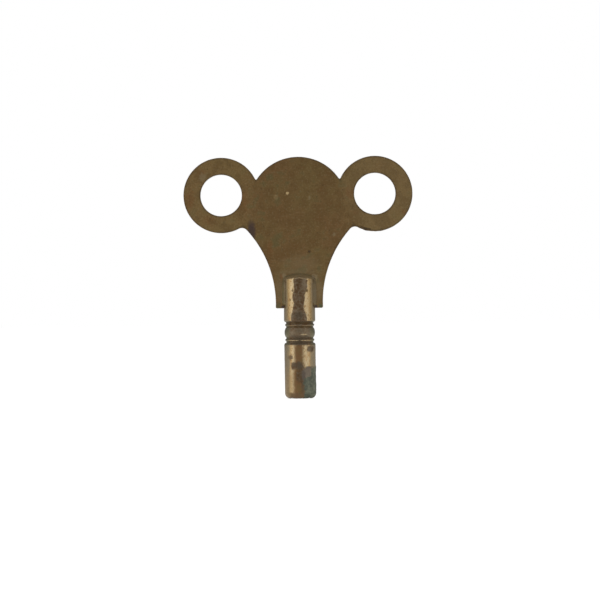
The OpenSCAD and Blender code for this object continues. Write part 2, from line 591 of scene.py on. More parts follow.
@dataclass(frozen=True)
class RubbedTurnedBrass(Finish):
    """Brass bar turned on a lathe, rubbed bright over brown tarnish, with verdigris near the mouth."""

    name: str = "rubbed_turned_brass"
    base: str = "#AE9C7B"
    ash: str = "#776C5A"
    # Bare brass is a pale, warm metal that mirrors the room. Sweat has etched small spots into its bright
    # bands, drawn out along the bar by wiping. The tool leaves rings round the bar: real ones are a tenth of
    # a millimetre apart and finer than a pixel, so these are coarser.
    grains: tuple[Grain, ...] = (
        Grain("fleck", 0.5, 3.0),
        Grain("sweat", 0.32, 2.0, (1.0, 1.0, 0.6)),
        Grain("turning", 0.22, 2.0, (0.05, 0.05, 1.0)),
    )
    # Tarnish stays in the hollows that rubbing misses, so its rim is ragged and its inside flecked.
    shares: tuple[Share, ...] = (
        Share("spatter", "sweat", 0.5, 0.68, 0.75),
        Share("tarnish", "fleck", 0.55, 1.25, 1.0, 0.9, "tarnish"),
        Share("umber", "fleck", 0.52, 0.4, 0.9),
        Share("pale", "fleck", 0.52, 0.64, 0.5),
        Share("flake", "fleck", 0.85, 1.5, 1.0, 1.3, "flake"),
    )
    marks: tuple[str, ...] = (
        "warm",
        "blush",
        "film_and_reflection",
        "copper",
        "tarnish",
        "soot_and_shade",
        "ash",
        "lichen_and_reflection",
        "grime",
        "mauve",
        "flake",
        "crust",
        "pit",
    )
    coats: tuple[Coat, ...] = (
        Coat("warm", "#A68A5D"),
        Coat("spatter", "#86663F"),
        Coat("blush", "#A07C55"),
        Coat("film_and_reflection", "#8A7F69"),
        Coat("copper", "#71553A", (Coat("flake", "#6D593A"),)),
        Coat("tarnish", "#62503C", (Coat("umber", "#57412E"), Coat("pale", ash))),
        Coat("soot_and_shade", "#544B3E"),
        Coat("mauve", "#5F544A"),
        Coat("ash", ash),
        Coat("lichen_and_reflection", "#6E6A52"),
        Coat("grime", "#725F3E"),
        Coat("crust", "#4C5041", (Coat("flake", "#6E705C"),)),
        Coat("pit", "#4A3A22"),
    )
    bump: float = 0.7
    bump_mm: float = 0.04

    def surface(
        self, tree: bpy.types.NodeTree, amounts: dict[str, bpy.types.NodeSocket]
    ) -> tuple[bpy.types.NodeSocket, bpy.types.NodeSocket, bpy.types.NodeSocket]:
        """Rubbed brass is smooth, tarnish is dull, and the crown's dark olive coat, the mauve patch and
        verdigris have little metal in their look.

        Args:
            tree: the material's node tree.
            amounts: the sockets of the grains, marks and shares.

        Returns:
            How metallic it is, how rough it is and its height for the bump.
        """
        most = {}
        for name, members in (("salt", ("mauve", "grime", "crust")), ("skin", ("copper", "film_and_reflection", "tarnish"))):
            most[name] = amounts[members[0]]
            for member in members[1:]:
                pair = {0: most[name], 1: amounts[member]}
                most[name] = add_node(tree, "ShaderNodeMath", pair, operation="MAXIMUM").outputs["Value"]
        metal = add_node(tree, "ShaderNodeMapRange", {"Value": most["salt"], "To Min": 1.0, "To Max": 0.15})
        sheen = add_node(tree, "ShaderNodeMapRange", {"Value": most["skin"], "To Min": 0.24, "To Max": 0.44})
        dulled = {0: most["salt"], 1: 0.35, 2: sheen.outputs["Result"]}
        rough = add_node(tree, "ShaderNodeMath", dulled, operation="MULTIPLY_ADD")
        ridges = {0: amounts["turning"], 1: 0.5, 2: amounts["fleck"]}
        height = add_node(tree, "ShaderNodeMath", ridges, operation="MULTIPLY_ADD")
        return metal.outputs["Result"], rough.outputs["Value"], height.outputs["Value"]


@dataclass(frozen=True)
class OldSoftSolder(Finish):
    """Tin-lead solder, run in with a torch and dulled under the same tarnish as the brass."""

    name: str = "old_soft_solder"
    base: str = "#6F644A"
    # Solder freezes with a slightly grainy, grey skin, which here has taken on the wing's olive cast.
    grains: tuple[Grain, ...] = (Grain("cloud", 1.4, 3.0), Grain("grit", 0.35, 1.0))
    shares: tuple[Share, ...] = (Share("olive", "cloud", 0.4, 0.6),)
    marks: tuple[str, ...] = ("burnt", "pale")
    # Flux chars where the torch played, at the foot.
    coats: tuple[Coat, ...] = (Coat("olive", "#6E6042"), Coat("burnt", "#54462E"), Coat("pale", "#8C7E6C"))
    bump: float = 0.4
    bump_mm: float = 0.05

    def surface(
        self, tree: bpy.types.NodeTree, amounts: dict[str, bpy.types.NodeSocket]
    ) -> tuple[float, bpy.types.NodeSocket, bpy.types.NodeSocket]:
        """Metal all over, rougher where the grit stands up.

        Args:
            tree: the material's node tree.
            amounts: the sockets of the grains, marks and shares.

        Returns:
            How metallic it is, how rough it is and its height for the bump.
        """
        spread = {"Value": amounts["grit"], "To Min": 0.35, "To Max": 0.6}
        return 1.0, add_node(tree, "ShaderNodeMapRange", spread).outputs["Result"], amounts["grit"]


@dataclass(frozen=True)
class Wing:
    """The wing: one stamping of brass sheet, with a dome between two finger rings."""

    ring_c: np.ndarray
    ring_r: float
    hole_r: float
    foot_z: float
    top_z: float
    thickness: float
    dome_r: float = 11.2
    waist_w: float = 10.7
    waist_rise: float = 1.2
    flank_r: float = 24.9
    dome_notch_r: float = 0.25
    flank_notch_r: float = 1.5
    foot_corner_r: float = 0.35
    die_roll: float = 0.18
    break_edge: float = 0.08
    shear: float = 0.012
    burr: float = 0.16
    buckle: float = 0.05
    ripple: float = 0.012
    dent_depth: float = 0.05
    crease: float = 40.0
    corner_steps: int = 8
    flank_steps: int = 110
    notch_steps: int = 12
    ring_steps: int = 200
    dome_steps: int = 80
    roll_rows: int = 6
    wall_rows: int = 7
    break_rows: int = 4
    columns: int = 96
    across_ring: int = 14
    chord_steps: int = 70
    dents: tuple[Spot, ...] = (
        Spot(2.4, 33.35, 0.32, 0.3),
        Spot(1.4, 34.4, 0.25, 0.25, 0.4),
        Spot(-2.4, 46.6, 0.3, 0.3, 0.6),
        Spot(2.6, 45.5, 0.3, 0.35, 0.4),
        Spot(-6.5, 31.0, 0.5, 0.4, 0.3),
    )
    # A long dark mark at the left, and two small dark ones at the foot's corners beside the barrel.
    dark_spots: tuple[Spot, ...] = (
        Spot(-10.6, 38.2, 0.8, 2.2, 0.8, 0.5),
        Spot(-3.75, 20.8, 0.3, 0.3),
        Spot(3.8, 20.8, 0.3, 0.3),
    )
    ruddies: tuple[Spot, ...] = (
        Spot(-24.6, 45.6, 0.9, 1.8, 0.6, 0.8),
        Spot(-22.2, 51.3, 1.0, 0.9, 0.5, 0.8),
        Spot(-20.0, 40.5, 1.5, 1.0, 0.5, 0.8),
        Spot(-12.6, 44.5, 1.0, 2.5, 0.6, 0.8),
        Spot(-6.8, 33.6, 0.8, 1.8, 0.7, 0.8),
        Spot(-4.1, 27.7, 0.5, 0.6, 0.9, 0.6),
        Spot(5.0, 27.1, 0.4, 0.5, 0.6, 0.7),
        Spot(12.2, 46.5, 1.0, 1.2, 0.7, 0.8),
        Spot(13.0, 42.0, 0.7, 0.6, 0.6, 0.8),
        Spot(24.2, 42.0, 0.6, 0.6, 0.6, 0.8),
    )
    salts: tuple[Spot, ...] = (
        Spot(4.8, 20.95, 0.4, 0.5, 0.9, 0.5),
        Spot(4.5, 21.2, 0.25, 0.2, 0.4, 0.6),
        Spot(-4.8, 21.0, 0.6, 0.8, 0.5, 0.7),
    )
    pales: tuple[Spot, ...] = (
        Spot(-21.6, 50.5, 0.8, 0.9, 0.5, 0.5),
        Spot(17.4, 46.3, 8.6, 8.6, 0.1, 0.2),
        Spot(-3.4, 27.95, 0.5, 0.5, 0.7, 0.6),
        Spot(3.8, 27.5, 0.35, 0.6, 0.7, 0.5),
        Spot(3.3, 28.0, 0.4, 0.25, 0.7, 0.5),
        Spot(0.5, 30.6, 3.2, 1.6, 0.28, 0.8),
        # Painted light: lifts the wing just above the crown, where it renders darker next to the barrel.
        Spot(0.0, 28.7, 4.0, 0.7, 0.35, 0.7),
        Spot(4.3, 24.4, 0.9, 3.2, 0.35, 0.7),
        Spot(-4.4, 24.6, 0.9, 2.8, 0.3, 0.7),
        Spot(2.6, 45.5, 0.35, 0.5, 0.5),
        Spot(8.1, 37.1, 0.35, 0.4, 0.6),
    )
    bares: tuple[Spot, ...] = (Spot(-2.4, 46.6, 0.28, 0.28, 0.8), Spot(-5.0, 45.7, 0.5, 0.6, 0.12))

    @classmethod
    def from_frame(cls) -> "Wing":
        """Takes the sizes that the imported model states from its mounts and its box.

        Returns:
            The wing.
        """
        mount = next(m for m in frame["record"]["mounts"] if m["name"] == "right_ring_hole")
        low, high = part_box("wing_plate")
        centre = np.array([mount["pos_m"][0], mount["pos_m"][2]]) / MM
        return cls(
            ring_c=centre,
            ring_r=high.x / MM - centre[0],
            hole_r=mount["dims"]["r_mm"],
            foot_z=low.z / MM,
            top_z=high.z / MM,
            thickness=(high.y - low.y) / MM,
        )

    @property
    def dome_c(self) -> np.ndarray:
        """The dome's centre."""
        return np.array([0, self.top_z - self.dome_r])

    @property
    def flank_c(self) -> np.ndarray:
        """The centre of the right flank's hollow."""
        return np.array([self.waist_w / 2 + self.flank_r, self.foot_z + self.waist_rise])

    def arcs(self) -> list[Arc]:
        """The right half of the outline, from the foot's corner up to the top of the dome.

        Returns:
            The corner, the flank, the flank's notch, the ring, the dome's notch and the dome, each tangent to
            the next.
        """
        corner_z = self.foot_z + self.foot_corner_r
        reach = self.flank_r + self.foot_corner_r
        corner_x = self.flank_c[0] - math.sqrt(reach ** 2 - (self.flank_c[1] - corner_z) ** 2)
        corner = np.array([corner_x, corner_z])
        flank, flank_r, low_r = self.flank_c, self.flank_r, self.flank_notch_r
        dome, dome_r, high_r = self.dome_c, self.dome_r, self.dome_notch_r
        ring, ring_r = self.ring_c, self.ring_r
        low = meeting(flank, flank_r - low_r, ring, ring_r + low_r)
        high = meeting(dome, dome_r + high_r, ring, ring_r + high_r)
        start = heading(flank, corner) % (2 * math.pi)
        return [
            Arc(corner, self.foot_corner_r, -math.pi / 2, heading(corner, flank), self.corner_steps),
            Arc(flank, flank_r, start, heading(flank, low), self.flank_steps, True),
            Arc(low, low_r, heading(flank, low), heading(low, ring), self.notch_steps, True),
            Arc(ring, ring_r, heading(ring, low), heading(ring, high), self.ring_steps),
            Arc(high, high_r, heading(high, ring), heading(high, dome), self.notch_steps, True),
            Arc(dome, dome_r, heading(dome, high), math.pi / 2, self.dome_steps),
        ]

    def outline(self) -> tuple[np.ndarray, np.ndarray, int, int]:
        """Traces the right half of the outline.

        Returns:
            The places and the directions out of the metal, each n by 2, and the numbers of the places at the
            bottoms of the flank's notch and of the dome's notch.
        """
        arcs = self.arcs()
        traces = [arc.trace() for arc in arcs]
        places = np.concatenate([traces[0][0]] + [trace[0][1:] for trace in traces[1:]])
        outs = np.concatenate([traces[0][1]] + [trace[1][1:] for trace in traces[1:]])
        ends = np.cumsum([arc.steps for arc in arcs])
        return places, outs, int(ends[1] + arcs[2].steps // 2), int(ends[3] + arcs[4].steps // 2)

    def edge_profile(self) -> tuple[np.ndarray, np.ndarray]:
        """The sheared edge's section: a round die roll in front, a straight wall and a small break behind.

        Returns:
            How far out of the outline each place is, never above 0, and its y.
        """
        half = self.thickness / 2
        roll = np.linspace(0, math.pi / 2, self.roll_rows)
        snap = np.linspace(0, math.pi / 2, self.break_rows)
        wall = np.linspace(self.die_roll - half, half - self.break_edge, self.wall_rows)[1:-1]
        roll_out, roll_y = self.die_roll * (np.sin(roll) - 1), self.die_roll * (1 - np.cos(roll)) - half
        snap_out, snap_y = self.break_edge * (np.cos(snap) - 1), half + self.break_edge * (np.sin(snap) - 1)
        out = np.concatenate([roll_out, np.zeros(len(wall)), snap_out])
        y = np.concatenate([roll_y, wall, snap_y])
        return out, y

    def add_face(self, skin: Skin, side: Side) -> None:
        """Adds one face of the sheet: the body and the two rings.

        The body's rows run straight across from the left outline to the right one. A ring's columns run
        straight out from its hole to its outline, and the two share the line from notch to notch.

        Args:
            skin: the wing's skin.
            side: which face.
        """
        inset = self.die_roll if side is Side.FRONT else self.break_edge
        y = side.value * self.thickness / 2
        places, outs, low, high = self.outline()
        rim = places - inset * outs
        share = np.linspace(0, 1, self.chord_steps + 1)[1:-1, None]
        chord = rim[low] + share * (rim[high] - rim[low])
        flank = np.concatenate([rim[:low + 1], chord, rim[high:]])
        across = np.linspace(-1, 1, self.columns + 1)
        skin.add(flank[:, :1] * across, y, flank[:, 1:])
        loop = np.concatenate([rim[low:high + 1], chord[::-1], rim[low:low + 1]])
        ray = self.hole_rays()
        inner = self.ring_c + (self.hole_r + inset) * ray
        out = np.linspace(0, 1, self.across_ring + 1)[None, :, None]
        ring = inner[:, None] + out * (loop - inner)[:, None]
        for mirror in (-1, 1):
            skin.add(mirror * ring[..., 0], y, ring[..., 1])

    def hole_rays(self) -> np.ndarray:
        """Works out the directions from the right ring's centre to the places of its outline loop.

        Returns:
            Unit directions once round, n by 2.
        """
        places, _, low, high = self.outline()
        share = np.linspace(1, 0, self.chord_steps + 1)[1:, None]
        chord = places[low] + share * (places[high] - places[low])
        away = np.concatenate([places[low:high + 1], chord]) - self.ring_c
        return away / np.hypot(*away.T)[:, None]

    def add_edges(self, skin: Skin) -> None:
        """Adds the sheared edges: the edge's section carried round the outline and round each hole.

        Shearing leaves the wall a little uneven, and a torn burr under the right ring, so the wall wanders in
        and out between its two faces, by nothing at the faces themselves.

        Args:
            skin: the wing's skin.
        """
        out, y = self.edge_profile()
        places, outs = self.outline()[:2]
        across = np.linspace(0, 1, self.columns // 2 + 1)[:-1]
        foot = np.stack([across * places[0, 0], np.full(len(across), self.foot_z)], axis=1)
        places = np.concatenate([foot, places])
        outs = np.concatenate([np.tile([0.0, -1.0], (len(foot), 1)), outs])
        round_hole = self.hole_rays()
        free = np.sin(np.linspace(0, math.pi, len(out)))
        for mirror in (-1, 1):
            flip = np.array([mirror, 1])
            for path, way in ((places, outs), (self.ring_c + self.hole_r * round_hole, -round_hole)):
                spot = np.repeat((path * flip)[:, None], len(out), axis=1)
                solid = np.stack([spot[..., 0], np.broadcast_to(y, spot.shape[:2]), spot[..., 1]], axis=-1)
                wander = rough_noise(solid.reshape(-1, 3), 0.8, 7).reshape(spot.shape[:2])
                shift = out + free * (self.shear * wander + self.torn(solid))
                edge = spot + shift[..., None] * (way * flip)[:, None]
                skin.add(edge[..., 0], y, edge[..., 1])

    def torn(self, solid: np.ndarray) -> np.ndarray:
        """How far the burr under the right ring stands out: a ragged fringe on the ring's lower arc.

        Args:
            solid: places on the edge, rows by columns by 3.

        Returns:
            The burr's height in mm, rows by columns.
        """
        flat = solid.reshape(-1, 3)
        away = flat[:, [0, 2]] - self.ring_c
        angle = np.degrees(np.arctan2(away[:, 0], -away[:, 1]))
        below = ramp(angle, -32, -24) * ramp(angle, 18, 8)
        outer = np.abs(np.hypot(*away.T) - self.ring_r) < 1
        teeth = 0.5 + 0.5 * rough_noise(flat * [1, 0.2, 1], 0.9, 19)
        return (self.burr * teeth * below * outer).reshape(solid.shape[:2])

    def edge_distance(self, points: np.ndarray) -> np.ndarray:
        """How far each place is from the nearest edge of the wing, in mm.

        Args:
            points: places in mm, n by 3.

        Returns:
            The depth inside the union of the dome, the rings and the tapered body, less the two holes.
        """
        x, z = np.abs(points[:, 0]), points[:, 2]
        ring = np.hypot(x - self.ring_c[0], z - self.ring_c[1])
        dome = self.dome_r - np.hypot(x, z - self.dome_c[1])
        flank = np.hypot(x - self.flank_c[0], z - self.flank_c[1]) - self.flank_r
        # The tapered body ends at the rings' height: above it, it counts as far outside.
        body = np.minimum(flank, z - self.foot_z) - 100 * ramp(z, self.ring_c[1] - 1, self.ring_c[1] + 1)
        inside = np.max([self.ring_r - ring, dome, body], axis=0)
        return np.clip(np.minimum(inside, ring - self.hole_r), 0, None)

    def build(self, material: bpy.types.Material) -> bpy.types.Object:
        """Makes the stamping: two faces and the edges between them, a little out of flat and dented.

        Args:
            material: the sheet's finish.

        Returns:
            The piece.
        """
        skin = Skin()
        self.add_face(skin, Side.FRONT)
        self.add_face(skin, Side.BACK)
        self.add_edges(skin)
        vertices, triangles = skin.weld()
        marks = self.marks(vertices)
        free = ramp(vertices[:, 2], self.foot_z + 8, self.foot_z + 14)
        flat = vertices * [1, 0, 1]
        front = vertices[:, 1] < 0
        sway = self.buckle * lattice_noise(flat, 14, 3) + self.ripple * rough_noise(flat, 4, 5)
        vertices[:, 1] += free * sway
        vertices[:, 1] += front * self.dent_depth * covered(self.dents, vertices, 0.2)
        return make_piece("wing_stamping", vertices, triangles, marks, material, self.crease)

    def marks(self, points: np.ndarray) -> dict[str, np.ndarray]:
        """Works out where the wing is worn, grimy, stained, pale or bare.

        Args:
            points: places in mm, n by 3.

        Returns:
            The marks that the finish reads.
        """
        edge = self.edge_distance(points)
        wander = rough_noise(points, 0.9, 23)
        # Grime packs along the edges, round the burr and in the deepest dent, and less towards the foot.
        grime = (0.1 + 0.45 * ramp(points[:, 2], 27, 32)) * ramp(edge + 0.12 * wander, 0.4, 0.05)
        burr = self.torn(points[None] * [1, 0.5, 1])[0] / self.burr
        grime = np.maximum(grime, 0.8 * ramp(burr * ramp(edge, 0.9, 0.2), 0.2, 0.5))
        grime = np.maximum(grime, 0.7 * self.dents[0].cover(points, 0.2))
        return {
            "worn": 0.6 * ramp(np.abs(points[:, 0]) + wander, 8, 14),
            "ruddy": covered(self.ruddies, points, 0.6),
            "grime": grime,
            "dark_spot": covered(self.dark_spots, points),
            "salt": covered(self.salts, points),
            "pale": covered(self.pales, points),
            "bare": covered(self.bares, points, 0.2),
        }


@dataclass(frozen=True)
class Barrel:
    """The barrel: one turning, with a beaded collar, a slotted and domed top and a square socket."""

    radius: float
    floor_z: float
    slot_half: float = 0.86
    lower_len: float = 12.65
    upper_z: float = 17.31
    crown_z: float = 20.2
    crown_r: float = 8.0
    rim_r: float = 0.8
    mouth_edge_r: float = 1.2
    shoulder_r: float = 0.45
    groove_r: float = 3.1
    bead_z: float = 14.98
    bead_r: float = 3.475
    bead_half: float = 1.05
    bead_face_r: float = 2.4
    thin_offset: float = 1.69
    thin_r: float = 3.325
    thin_half: float = 0.28
    thin_face_r: float = 0.3
    square_half: float = 2.125
    square_corner_r: float = 2.92
    square_depth: float = 12.0
    drill_r: float = 2.1
    drill_depth: float = 14.5
    drill_point: float = 59.0
    mouth_r: float = 2.3
    mouth_depth: float = 0.5
    lip: float = 0.002
    dint: float = 0.012
    drag: float = 0.009
    pit_depth: float = 0.09
    tarnish_depth: float = 0.015
    crust_lift: float = 0.04
    crust_lump: float = 0.06
    crease: float = 40.0
    arc_steps: int = 100
    gap_steps: int = 18
    slot_steps: int = 12
    end_rows: int = 18
    cone_rows: int = 6
    square_rows: int = 16
    lower_rows: int = 96
    collar_rows: int = 110
    upper_rows: int = 24
    cheek_rows: int = 58
    rim_rows: int = 12
    crown_rows: int = 26
    pits: tuple[Spot, ...] = (
        Spot(-0.4, 5.4, 0.45, 1.5, 0.3, 0.8),
        Spot(-1.45, 24.5, 0.2, 0.26, 0.7, 0.5),
        Spot(1.78, 24.5, 0.28, 0.36, 0.85, 0.5),
        Spot(-2.1, 22.4, 0.17, 0.2, 0.7, 0.5),
        Spot(-2.3, 21.2, 0.14, 0.14, 0.4, 0.5),
    )
    # The dark middle of both faces: partly tarnish, partly a painted reflection of the dark side in front.
    dark_middle: Streak = Streak(
        (
            (17.3, -2.0, 1.65),
            (18.3, -2.0, 1.65),
            (19.4, -1.75, 1.4),
            (20.2, -1.45, 0.95),
            (21.5, -1.31, 0.95),
            (22.8, -1.5, 1.25),
            (23.5, -1.5, 1.1),
            (24.4, -1.28, 1.65),
            (26.7, -1.24, 1.95),
            (28.6, -1.2, 1.6),
        ),
        0.2,
        0.25,
        0.7,
    )
    # The lower sleeve's coppery middle: partly tarnish, partly a painted reflection of the dark side in
    # front.
    copper_middle: Streak = Streak(
        ((0.0, -1.5, 1.0), (6.0, -1.55, 1.0), (8.0, -1.25, 0.75), (12.7, -1.15, 0.6)), 0.45, 0.2
    )
    crown_edge: tuple[tuple[float, float], ...] = (
        (-2.9, 26.87),
        (-1.8, 27.0),
        (-1.3, 27.13),
        (0.1, 27.4),
        (1.6, 27.08),
        (2.7, 26.87),
    )
    darks: tuple[Spot, ...] = (
        Spot(2.35, 11.25, 0.75, 0.8, 0.85, 0.6),
        Spot(-2.15, 9.35, 0.5, 0.6, 0.65, 0.7),
        Spot(-1.3, 7.45, 0.85, 0.85, 0.85, 0.5),
        Spot(-0.3, 7.6, 0.7, 0.85, 1.0, 0.5),
        Spot(-0.65, 7.6, 0.7, 0.6, 0.9, 0.35),
        Spot(0.3, 5.2, 0.7, 1.7, 1.0, 0.5),
        Spot(-0.6, 5.3, 0.35, 1.3, 0.9, 0.6),
    )
    soots: tuple[Spot, ...] = (
        Spot(-0.2, 18.6, 1.3, 1.3, 0.75, 0.6),
        Spot(-0.1, 7.6, 0.7, 0.7, 0.8, 0.6),
        Spot(-1.1, 7.6, 0.7, 0.6, 0.6, 0.6),
        Spot(0.7, 2.4, 0.5, 1.6, 0.6, 0.6),
        Spot(0.5, 5.4, 0.5, 1.2, 0.5, 0.6),
        Spot(2.3, 11.2, 0.5, 0.5, 0.4, 0.6),
        Spot(2.0, 7.15, 0.8, 0.16, 0.8, 0.6),
        Spot(1.6, 13.95, 0.6, 0.22, 0.9, 0.5),
        Spot(-1.5, 14.15, 0.5, 0.25, 0.8, 0.6),
    )
    blushes: tuple[Spot, ...] = (
        Spot(-2.2, 6.6, 0.4, 2.0, 0.7, 0.6),
        Spot(2.1, 8.8, 0.9, 1.3, 0.7, 0.6),
        Spot(-2.4, 21.3, 0.5, 1.6, 0.6, 0.6),
        Spot(2.5, 20.3, 0.6, 1.8, 0.6, 0.6),
        Spot(-2.2, 17.95, 0.35, 0.4, 1.0, 0.6),
        Spot(2.4, 18.4, 0.45, 0.7, 1.0, 0.6),
    )
    ashes: tuple[Spot, ...] = (
        Spot(2.2, 11.1, 0.4, 0.5, 0.5, 0.6),
        Spot(1.1, 26.0, 0.7, 1.0, 0.5, 0.6),
        Spot(1.75, 5.5, 0.6, 0.5, 0.3, 0.6),
        Spot(0.0, 15.56, 1.6, 0.13, 0.6, 0.6),
        Spot(-1.6, 14.9, 0.7, 0.35, 0.6, 0.6),
        Spot(2.3, 14.8, 0.4, 0.15, 0.8, 0.5),
    )
    scratch: Spot = Spot(0.95, 14.5, 0.8, 0.15, 1.0, 0.5)
    mauve_patch: Streak = Streak(
        ((3.9, 0.7, 1.6), (4.6, 0.5, 2.4), (6.3, 0.6, 2.9), (6.75, 1.0, 3.2), (7.05, 1.5, 3.4)), 0.2, 0.3, 0.7
    )
    crust_patch: Streak = Streak(
        (
            (-1.0, 0.8, 9.0),
            (4.5, 0.85, 9.0),
            (4.9, 1.5, 9.0),
            (5.1, 2.3, 9.0),
            (6.8, 2.5, 9.0),
            (7.3, 3.3, 9.0),
        ),
        0.15,
        0.3,
        0.7,
    )

    @classmethod
    def from_frame(cls) -> "Barrel":
        """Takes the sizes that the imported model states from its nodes' boxes."""
        return cls(radius=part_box("barrel")[1].x / MM, floor_z=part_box("wing_plate")[0].z / MM)

    @property
    def rings(self) -> list[tuple[float, float, float, float]]:
        """The bead and the two thin rings of the collar.

        Returns:
            Each one's middle height, radius, half width and face radius.
        """
        thin = (self.thin_r, self.thin_half, self.thin_face_r)
        bead = (self.bead_z, self.bead_r, self.bead_half, self.bead_face_r)
        return [bead, (self.bead_z - self.thin_offset, *thin), (self.bead_z + self.thin_offset, *thin)]

    def radius_at(self, z: np.ndarray) -> np.ndarray:
        """The turned radius at each height: the largest of the sleeves, the rings, the bead and the groove.

        Args:
            z: heights in mm, up to the slot's floor or the top's rim.

        Returns:
            The radius at each height, in mm.
        """

        def round_over(depth: np.ndarray, r: float) -> np.ndarray:
            """What a rounded edge of radius r leaves at a depth inside the end face."""
            inside = np.clip(r - depth, 0, r)
            return self.radius - r + np.sqrt(r ** 2 - inside ** 2)

        def ring(centre: float, r: float, half: float, face_r: float) -> np.ndarray:
            """A ring with a rounded face: the face's arc within its width, and nothing outside."""
            off = np.clip(np.abs(z - centre), 0, half)
            return np.where(np.abs(z - centre) <= half, r - face_r + np.sqrt(face_r ** 2 - off ** 2), 0)

        lower = np.minimum(round_over(z, self.mouth_edge_r), round_over(self.lower_len - z, self.shoulder_r))
        upper = round_over(z - self.upper_z, self.shoulder_r)
        return np.max(
            [
                np.full_like(z, self.groove_r),
                np.where(z <= self.lower_len, lower, 0),
                np.where(z >= self.upper_z, upper, 0),
                *(ring(*sizes) for sizes in self.rings),
            ],
            axis=0,
        )

    def angles(self) -> np.ndarray:
        """Works out the angles once round, even between the slot's edges.

        The cheeks use the same ones, so that they meet the grid below.

        Returns:
            The angles in radians, from one slot edge round to it again.
        """
        gap = math.asin(self.slot_half / self.radius)
        edges = [-gap, gap, math.pi - gap, math.pi + gap, 2 * math.pi - gap]
        counts = [self.gap_steps, self.arc_steps] * 2
        runs = [np.linspace(low, high, count + 1)[:-1] for low, high, count in zip(edges, edges[1:], counts)]
        return np.concatenate(runs + [edges[-1:]])

    def add_socket(self, skin: Skin) -> None:
        """Adds the socket and the end face: a radius for each angle and depth, and the face round its mouth.

        The square's radius is half its width over the larger of |cos| and |sin|, cut off at the corner
        circle, and the mouth's cone widens it. The end face runs from the mouth to the rounded lower edge.

        Args:
            skin: the barrel's skin.
        """
        angle = self.angles()
        cos, sin = np.cos(angle), np.sin(angle)
        square = np.minimum(self.square_half / np.maximum(np.abs(cos), np.abs(sin)), self.square_corner_r)
        flat_r = self.radius - self.mouth_edge_r

        def end_z(r: np.ndarray) -> np.ndarray:
            """The end face's height at a radius: flat, then the rounded edge."""
            over = np.clip(r - flat_r, 0, self.mouth_edge_r)
            return self.mouth_edge_r - np.sqrt(self.mouth_edge_r ** 2 - over ** 2)

        mouth = np.maximum(square, self.mouth_r)
        out = np.sin(np.linspace(0, math.pi / 2, self.end_rows))[:, None]
        face = mouth + out * (self.radius - mouth)
        skin.add(face * cos, face * sin, end_z(face))
        cone_z = np.linspace(0, self.mouth_depth, self.cone_rows)[1:, None]
        cone_r = self.mouth_r + (self.drill_r - self.mouth_r) * cone_z / self.mouth_depth
        wall_z = np.linspace(self.mouth_depth, self.square_depth, self.square_rows)[1:, None]
        tip = self.drill_depth + self.drill_r / math.tan(math.radians(self.drill_point))
        rows_r = [mouth[None], np.maximum(square, cone_r), np.repeat(square[None], len(wall_z), axis=0)]
        rows_z = [
            end_z(mouth)[None],
            np.maximum(cone_z, end_z(rows_r[1])),
            np.broadcast_to(wall_z, rows_r[2].shape),
        ]
        for r, z in ((self.drill_r, self.square_depth), (self.drill_r, self.drill_depth), (0, tip)):
            rows_r.append(np.full((1, len(angle)), float(r)))
            rows_z.append(np.full((1, len(angle)), z))
        wall = np.concatenate(rows_r)
        skin.add(wall * cos, wall * sin, np.concatenate(rows_z))

    def add_turning(self, skin: Skin) -> None:
        """Adds the turned outside below the slot: the radius at each height, carried once round.

        Where the radius jumps, two rows lie a lip apart, so that the corner is crisp.

        Args:
            skin: the barrel's skin.
        """
        jumps = [middle + end for middle, _, half, _ in self.rings for end in (-half, half)]
        jumps = np.array([self.lower_len, *jumps, self.upper_z])
        low, high = self.lower_len - self.shoulder_r, self.upper_z + self.shoulder_r
        z = np.concatenate(
            [
                np.linspace(self.mouth_edge_r, low, self.lower_rows),
                np.linspace(low, high, self.collar_rows),
                np.linspace(high, self.floor_z, self.upper_rows),
                jumps - self.lip,
                jumps + self.lip,
            ]
        )
        z = np.unique(np.round(z, 4))[:, None]
        angle = self.angles()
        r = self.radius_at(z)
        skin.add(r * np.cos(angle), r * np.sin(angle), z)

    @property
    def rim_z(self) -> float:
        """The height at which the cheeks' rim starts to turn in."""
        return self.crown_z + math.sqrt((self.crown_r - self.rim_r) ** 2 - (self.radius - self.rim_r) ** 2)

    def cheek_profile(self) -> tuple[np.ndarray, np.ndarray]:
        """The cheeks' section: straight up, round the rim and over the crown to the slot.

        Returns:
            The radius and the height of each place.
        """
        rim_x, rim_z = self.radius - self.rim_r, self.rim_z
        lean = math.atan2(rim_z - self.crown_z, rim_x)
        turn = np.linspace(0, lean, self.rim_rows)[1:]
        crown = np.linspace(lean, math.acos(self.slot_half / self.crown_r), self.crown_rows)[1:]
        wall_r = np.full(self.cheek_rows, self.radius)
        wall_z = np.linspace(self.floor_z, rim_z, self.cheek_rows)
        r = np.concatenate([wall_r, rim_x + self.rim_r * np.cos(turn), self.crown_r * np.cos(crown)])
        rim, top = rim_z + self.rim_r * np.sin(turn), self.crown_z + self.crown_r * np.sin(crown)
        z = np.concatenate([wall_z, rim, top])
        r[-1] = self.slot_half
        return r[:, None], z[:, None]

    def add_slot(self, skin: Skin) -> None:
        """Adds the two cheeks and the slot between them.

        A cheek's outside sweeps each place of its section from one slot edge to the other, its inside runs
        straight between the same two edges, and the slot's floor joins the two insides.

        Args:
            skin: the barrel's skin.
        """
        r, z = self.cheek_profile()
        gap = np.arcsin(np.clip(self.slot_half / r, 0, 1))
        across = np.linspace(0, 1, self.arc_steps + 1)
        plain = np.linspace(1, -1, self.slot_steps + 1)
        reach = np.sqrt(np.clip(r ** 2 - self.slot_half ** 2, 0, None))
        for side in Side:
            angle = gap + across * (math.pi - 2 * gap)
            skin.add(r * np.cos(angle), side.value * r * np.sin(angle), z)
            skin.add(reach * plain, side.value * self.slot_half, z)
        edge = math.asin(self.slot_half / self.radius)
        y = self.radius * np.sin(np.linspace(-edge, edge, self.gap_steps + 1))[:, None]
        skin.add(np.sqrt(self.radius ** 2 - y ** 2) * plain, y, self.floor_z)

